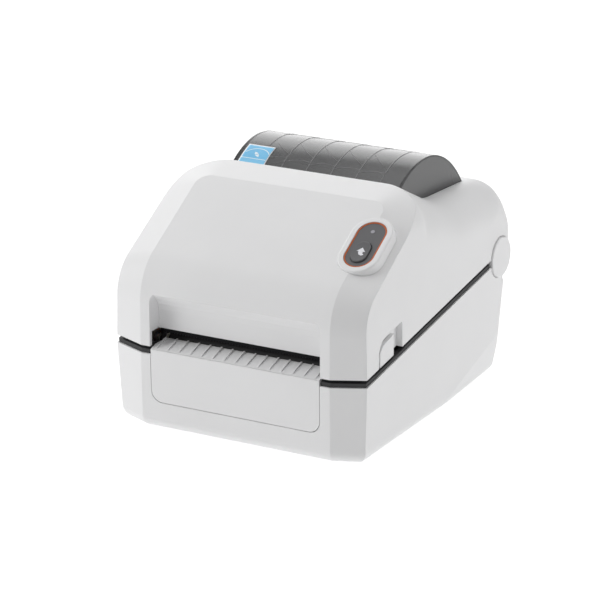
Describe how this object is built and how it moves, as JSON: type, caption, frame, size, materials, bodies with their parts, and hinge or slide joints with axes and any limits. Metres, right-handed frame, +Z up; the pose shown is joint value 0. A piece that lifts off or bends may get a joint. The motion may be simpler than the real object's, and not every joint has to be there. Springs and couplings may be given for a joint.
{
  "type": "thermal label printer",
  "caption": "Desktop thermal label printer with a hinged top cover, smoked roll window, ribbed label outlet, pill-shaped control and sliding roll guides.",
  "frame": {"origin": "centre of the footprint on the table plane, below the printer", "axes": "+X to the right seen from the front, +Y from the label outlet to the rear, +Z up"},
  "size_m": [0.1864, 0.2182, 0.1678],
  "materials": {
    "shell_white": "fine-grained moulded white plastic",
    "gasket_dark": "matte dark strip",
    "foot_rubber": "matte rubber",
    "frame_dark": "moulded dark plastic",
    "board_green": "solder-masked circuit board",
    "socket_black": "black moulding",
    "socket_metal": "plated sheet",
    "switch_black": "glossy rocker",
    "steel": "turned steel",
    "platen_rubber": "ground rubber",
    "acetal_ivory": "natural acetal",
    "brass_gear": "machined brass",
    "motor_metal": "zinc can",
    "guide_grey": "moulded grey plastic",
    "hub_dark": "moulded dark plastic",
    "sensor_black": "moulded black plastic",
    "smoked_window": "smoked translucent plastic",
    "accent_orange": "orange trim",
    "control_dark": "dark grey satin plastic",
    "lamp_lens": "frosted lens",
    "aluminium_fins": "extruded aluminium",
    "head_ceramic": "glazed ceramic",
    "tear_steel": "blackened strip",
    "latch_grey": "moulded grey plastic"
  },
  "bodies": {
    "base": {"lower_case": "shell_white", "front_panel": "shell_white", "label_lip": "shell_white", "gasket": "gasket_dark", "feet": "foot_rubber", "chassis": "frame_dark", "main_board": "board_green", "board_posts": "frame_dark", "io_plate": "frame_dark", "dc_inlet": "socket_black", "usb_port": "socket_metal", "ethernet_port": "socket_metal", "serial_port": "socket_metal", "switch_housing": "socket_black", "panel_screws": "steel", "hinge_pins": "steel", "platen_bushings": "acetal_ivory", "idler_pin": "steel", "stepper_motor": "motor_metal", "pinion_post": "steel", "sensor_rail": "steel"},
    "rocker": {"power_rocker": "switch_black"},
    "platen": {"platen_shaft": "steel", "platen_roller": "platen_rubber", "platen_gear": "acetal_ivory"},
    "idler": {"idler_gear": "acetal_ivory"},
    "motor_rotor": {"motor_pinion": "brass_gear", "motor_shaft": "steel"},
    "guide_right": {"media_guide_right": "guide_grey"},
    "guide_left": {"media_guide_left": "guide_grey"},
    "hub_right": {"roll_hub_right": "hub_dark"},
    "hub_left": {"roll_hub_left": "hub_dark"},
    "rack_wheel": {"rack_pinion": "acetal_ivory"},
    "sensor": {"media_sensor": "sensor_black"},
    "cover": {"top_cover": "shell_white", "window": "smoked_window", "window_frame": "frame_dark", "hinge_cap_right": "shell_white", "hinge_cap_left": "shell_white", "button_bezel": "shell_white", "accent_ring": "accent_orange", "control_face": "control_dark", "status_led": "lamp_lens", "button_board": "board_green", "head_frame": "frame_dark", "head_pin": "steel", "head_springs": "steel", "tear_bar": "tear_steel"},
    "button": {"feed_button": "control_dark"},
    "head": {"heat_sink": "aluminium_fins", "print_head": "head_ceramic"},
    "latch": {"latch_shaft": "steel", "latch_hook_right": "latch_grey", "latch_hook_left": "latch_grey", "release_lever_right": "shell_white", "release_lever_left": "shell_white"}
  },
  "joints": [
    {"name": "cover_open", "type": "hinge", "parent": "base", "child": "cover", "pos_m": [0, 0.09025, 0.0887], "axis": [-1, 0, 0], "range_deg": [0, 85]},
    {"name": "feed_press", "type": "slide", "parent": "cover", "child": "button", "axis": [0, 0.5145, -0.8575], "range_m": [0, 0.0008], "stiffness_N_per_m": 1500, "springref_m": -0.0004},
    {"name": "head_lift", "type": "hinge", "parent": "cover", "child": "head", "pos_m": [0, -0.06325, 0.074], "axis": [-1, 0, 0], "range_deg": [0, 3], "stiffness_Nm_per_rad": 2, "springref_deg": -8.59},
    {"name": "latch_release", "type": "hinge", "parent": "cover", "child": "latch", "pos_m": [0, -0.05925, 0.096], "axis": [-1, 0, 0], "range_deg": [0, 7], "stiffness_Nm_per_rad": 0.8, "springref_deg": -8.59},
    {"name": "platen_spin", "type": "hinge", "parent": "base", "child": "platen", "pos_m": [0, -0.08725, 0.0586], "axis": [1, 0, 0], "continuous": true},
    {"name": "idler_spin", "type": "hinge", "parent": "base", "child": "idler", "pos_m": [-0.0735, -0.07131, 0.0396], "axis": [1, 0, 0], "continuous": true},
    {"name": "motor_spin", "type": "hinge", "parent": "base", "child": "motor_rotor", "pos_m": [-0.0735, -0.0524, 0.03627], "axis": [1, 0, 0], "continuous": true},
    {"name": "guide_right_slide", "type": "slide", "parent": "base", "child": "guide_right", "axis": [-1, 0, 0], "range_m": [0, 0.036]},
    {"name": "guide_left_slide", "type": "slide", "parent": "base", "child": "guide_left", "axis": [1, 0, 0], "range_m": [0, 0.036]},
    {"name": "rack_wheel_spin", "type": "hinge", "parent": "base", "child": "rack_wheel", "pos_m": [0, 0.01975, 0.0325], "axis": [0, 0, 1], "range_deg": [0, 260]},
    {"name": "hub_right_spin", "type": "hinge", "parent": "guide_right", "child": "hub_right", "pos_m": [0.048, 0.01975, 0.095], "axis": [1, 0, 0], "continuous": true},
    {"name": "hub_left_spin", "type": "hinge", "parent": "guide_left", "child": "hub_left", "pos_m": [-0.048, 0.01975, 0.095], "axis": [1, 0, 0], "continuous": true},
    {"name": "sensor_slide", "type": "slide", "parent": "base", "child": "sensor", "axis": [1, 0, 0], "range_m": [-0.044, 0.044]},
    {"name": "power_rock", "type": "hinge", "parent": "base", "child": "rocker", "pos_m": [-0.042, 0.09487, 0.029], "axis": [1, 0, 0], "range_deg": [0, 7]}
  ],
  "couplings": [
    {"joint": "idler_spin", "follows": "platen_spin", "ratio": -0.82353},
    {"joint": "motor_spin", "follows": "platen_spin", "ratio": 2},
    {"joint": "guide_left_slide", "follows": "guide_right_slide", "ratio": 1},
    {"joint": "rack_wheel_spin", "follows": "guide_right_slide", "rad_per_m": 125}
  ]
}
